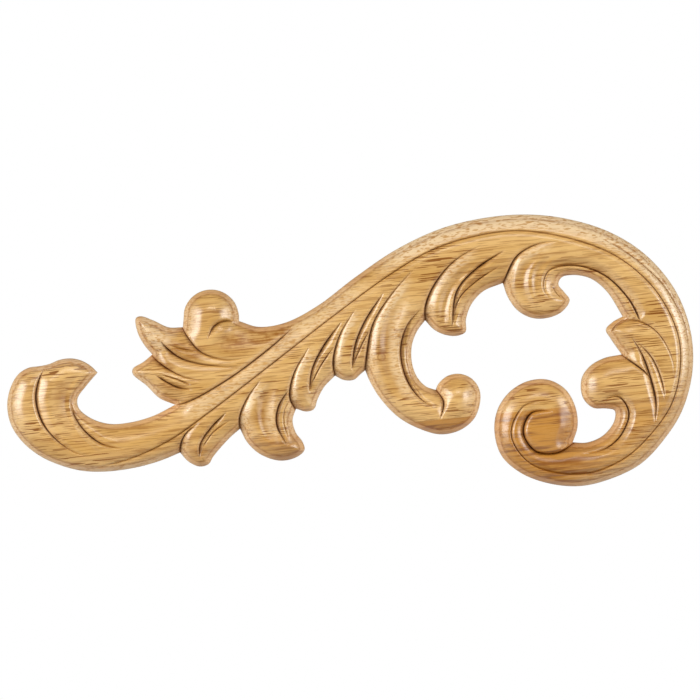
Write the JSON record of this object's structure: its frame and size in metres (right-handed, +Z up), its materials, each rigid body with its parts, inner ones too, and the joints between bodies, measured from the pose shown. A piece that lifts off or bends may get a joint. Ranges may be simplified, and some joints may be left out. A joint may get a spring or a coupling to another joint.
{
  "type": "wood applique",
  "caption": "Flat-backed carved wooden scroll with acanthus leaves, a hooked tail and a volute, glued or pinned to a panel as ornament.",
  "frame": {"origin": "on the flat back, in the middle of the scroll's length and height", "axes": "+X along the scroll from its tail to its volute, +Z up across it, +Y out of the flat back, so the carving faces -Y"},
  "size_m": [0.3, 0.0107, 0.1188],
  "materials": {
    "carved_wood": "satin"
  },
  "bodies": {
    "root": {"carved_scroll": "carved_wood"}
  },
  "joints": []
}
